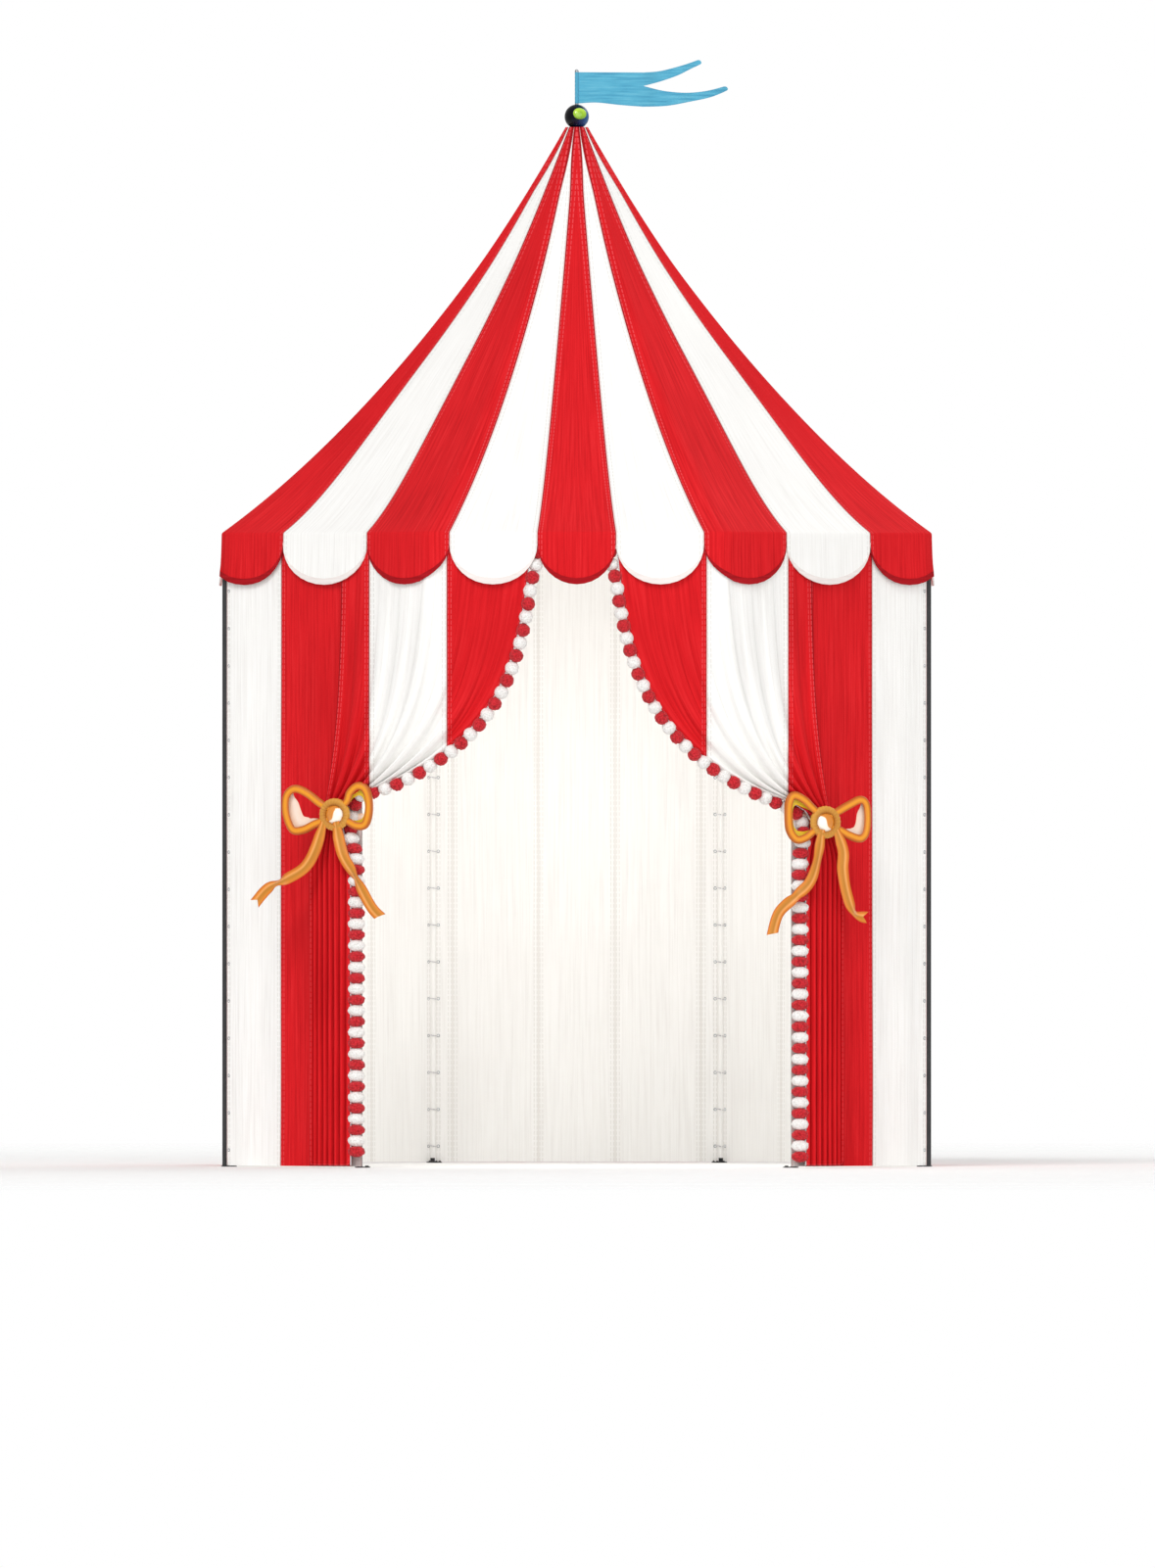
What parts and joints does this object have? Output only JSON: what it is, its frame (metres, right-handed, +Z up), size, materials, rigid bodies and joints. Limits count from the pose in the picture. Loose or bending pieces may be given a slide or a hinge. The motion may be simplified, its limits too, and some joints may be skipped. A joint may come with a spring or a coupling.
{
  "type": "circus big top tent",
  "caption": "Small octagonal circus tent: striped canvas roof with a scalloped valance, striped walls, a doorway with tied-back curtains, and a ball with a swivelling swallowtail pennant.",
  "frame": {"origin": "on the ground at the middle of the tent's octagonal plan", "axes": "+Z up; the doorway faces -Y; +X is to the right of someone who stands in front of the doorway"},
  "size_m": [6, 6, 9.338],
  "materials": {
    "red_canvas": "matt",
    "white_canvas": "matt",
    "black_steel": "satin",
    "galvanised_steel": "satin",
    "gold_ribbon": "satin",
    "navy_enamel": "gloss",
    "blue_pennant": "matt"
  },
  "bodies": {
    "tent": {"roof_panel_front": "white_canvas", "roof_panel_front_right": "red_canvas", "roof_panel_right": "white_canvas", "roof_panel_rear_right": "red_canvas", "roof_panel_rear": "white_canvas", "roof_panel_rear_left": "red_canvas", "roof_panel_left": "white_canvas", "roof_panel_front_left": "red_canvas", "wall_front_right": "white_canvas", "wall_right": "red_canvas", "wall_rear_right": "white_canvas", "wall_rear": "red_canvas", "wall_rear_left": "white_canvas", "wall_left": "red_canvas", "wall_front_left": "white_canvas", "rafter_1": "galvanised_steel", "rafter_2": "galvanised_steel", "rafter_3": "galvanised_steel", "rafter_4": "galvanised_steel", "rafter_5": "galvanised_steel", "rafter_6": "galvanised_steel", "rafter_7": "galvanised_steel", "rafter_8": "galvanised_steel", "crown_hub": "galvanised_steel", "eave_ring": "galvanised_steel", "post_front_right": "black_steel", "post_side_right": "black_steel", "post_rear_right": "black_steel", "post_rear_left": "black_steel", "post_side_left": "black_steel", "post_front_left": "black_steel", "jamb_post_right": "black_steel", "jamb_post_left": "black_steel", "curtain_right": "red_canvas", "curtain_left": "red_canvas", "bow_right": "gold_ribbon", "bow_left": "gold_ribbon", "flag_staff": "galvanised_steel", "finial_ball": "navy_enamel"},
    "pennant_body": {"pennant": "blue_pennant"}
  },
  "joints": [
    {"name": "pennant_swivel", "type": "hinge", "parent": "tent", "child": "pennant_body", "pos_m": [0, 0, 9.1], "axis": [0, 0, 1], "continuous": true}
  ]
}
